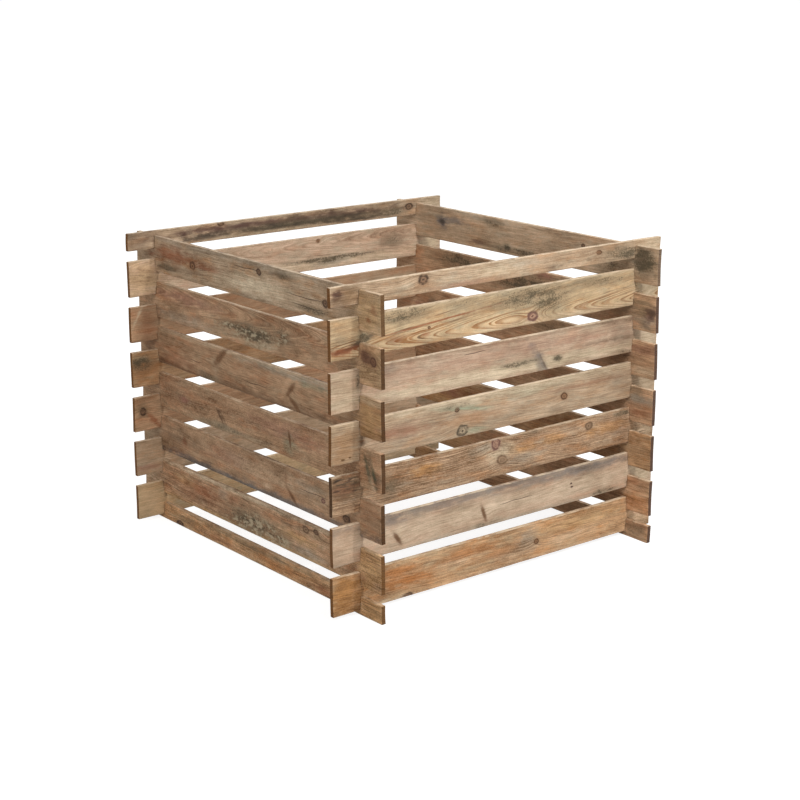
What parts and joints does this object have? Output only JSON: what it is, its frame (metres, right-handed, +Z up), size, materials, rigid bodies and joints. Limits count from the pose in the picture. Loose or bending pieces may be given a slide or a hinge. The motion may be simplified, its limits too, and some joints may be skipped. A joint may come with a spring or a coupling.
{
  "type": "wooden compost bin",
  "caption": "Square open-topped compost bin: notched boards interlock log-cabin fashion into slatted walls that hold a garden heap and let air through.",
  "frame": {"origin": "on the ground, at the middle of the bin's footprint", "axes": "+Z up, X along the front and back boards, Y along the left and right boards, front wall at -Y"},
  "size_m": [1, 1, 0.752],
  "materials": {
    "treated_pine": "brown pressure-treated pine, planed and unpainted, with knots and grey-green weathering"
  },
  "bodies": {
    "base": {"left_bottom_half_board": "treated_pine", "right_bottom_half_board": "treated_pine"},
    "front_back_1": {"front_board_1": "treated_pine", "back_board_1": "treated_pine"},
    "sides_1": {"left_board_1": "treated_pine", "right_board_1": "treated_pine"},
    "front_back_2": {"front_board_2": "treated_pine", "back_board_2": "treated_pine"},
    "sides_2": {"left_board_2": "treated_pine", "right_board_2": "treated_pine"},
    "front_back_3": {"front_board_3": "treated_pine", "back_board_3": "treated_pine"},
    "sides_3": {"left_board_3": "treated_pine", "right_board_3": "treated_pine"},
    "front_back_4": {"front_board_4": "treated_pine", "back_board_4": "treated_pine"},
    "sides_4": {"left_board_4": "treated_pine", "right_board_4": "treated_pine"},
    "front_back_5": {"front_board_5": "treated_pine", "back_board_5": "treated_pine"},
    "sides_5": {"left_board_5": "treated_pine", "right_board_5": "treated_pine"},
    "front_back_6": {"front_board_6": "treated_pine", "back_board_6": "treated_pine"},
    "sides_6": {"left_board_6": "treated_pine", "right_board_6": "treated_pine"},
    "front_top": {"front_top_half_board": "treated_pine"},
    "back_top": {"back_top_half_board": "treated_pine"}
  },
  "joints": [
    {"name": "lift_front_back_1", "type": "slide", "parent": "base", "child": "front_back_1", "axis": [0, 0, 1], "range_m": [0, 0.06]},
    {"name": "lift_sides_1", "type": "slide", "parent": "front_back_1", "child": "sides_1", "axis": [0, 0, 1], "range_m": [0, 0.06]},
    {"name": "lift_front_back_2", "type": "slide", "parent": "sides_1", "child": "front_back_2", "axis": [0, 0, 1], "range_m": [0, 0.06]},
    {"name": "lift_sides_2", "type": "slide", "parent": "front_back_2", "child": "sides_2", "axis": [0, 0, 1], "range_m": [0, 0.06]},
    {"name": "lift_front_back_3", "type": "slide", "parent": "sides_2", "child": "front_back_3", "axis": [0, 0, 1], "range_m": [0, 0.06]},
    {"name": "lift_sides_3", "type": "slide", "parent": "front_back_3", "child": "sides_3", "axis": [0, 0, 1], "range_m": [0, 0.06]},
    {"name": "lift_front_back_4", "type": "slide", "parent": "sides_3", "child": "front_back_4", "axis": [0, 0, 1], "range_m": [0, 0.06]},
    {"name": "lift_sides_4", "type": "slide", "parent": "front_back_4", "child": "sides_4", "axis": [0, 0, 1], "range_m": [0, 0.06]},
    {"name": "lift_front_back_5", "type": "slide", "parent": "sides_4", "child": "front_back_5", "axis": [0, 0, 1], "range_m": [0, 0.06]},
    {"name": "lift_sides_5", "type": "slide", "parent": "front_back_5", "child": "sides_5", "axis": [0, 0, 1], "range_m": [0, 0.06]},
    {"name": "lift_front_back_6", "type": "slide", "parent": "sides_5", "child": "front_back_6", "axis": [0, 0, 1], "range_m": [0, 0.06]},
    {"name": "lift_sides_6", "type": "slide", "parent": "front_back_6", "child": "sides_6", "axis": [0, 0, 1], "range_m": [0, 0.06]},
    {"name": "lift_front_top", "type": "slide", "parent": "sides_6", "child": "front_top", "axis": [0, 0, 1], "range_m": [0, 0.06]},
    {"name": "lift_back_top", "type": "slide", "parent": "sides_6", "child": "back_top", "axis": [0, 0, 1], "range_m": [0, 0.06]}
  ]
}
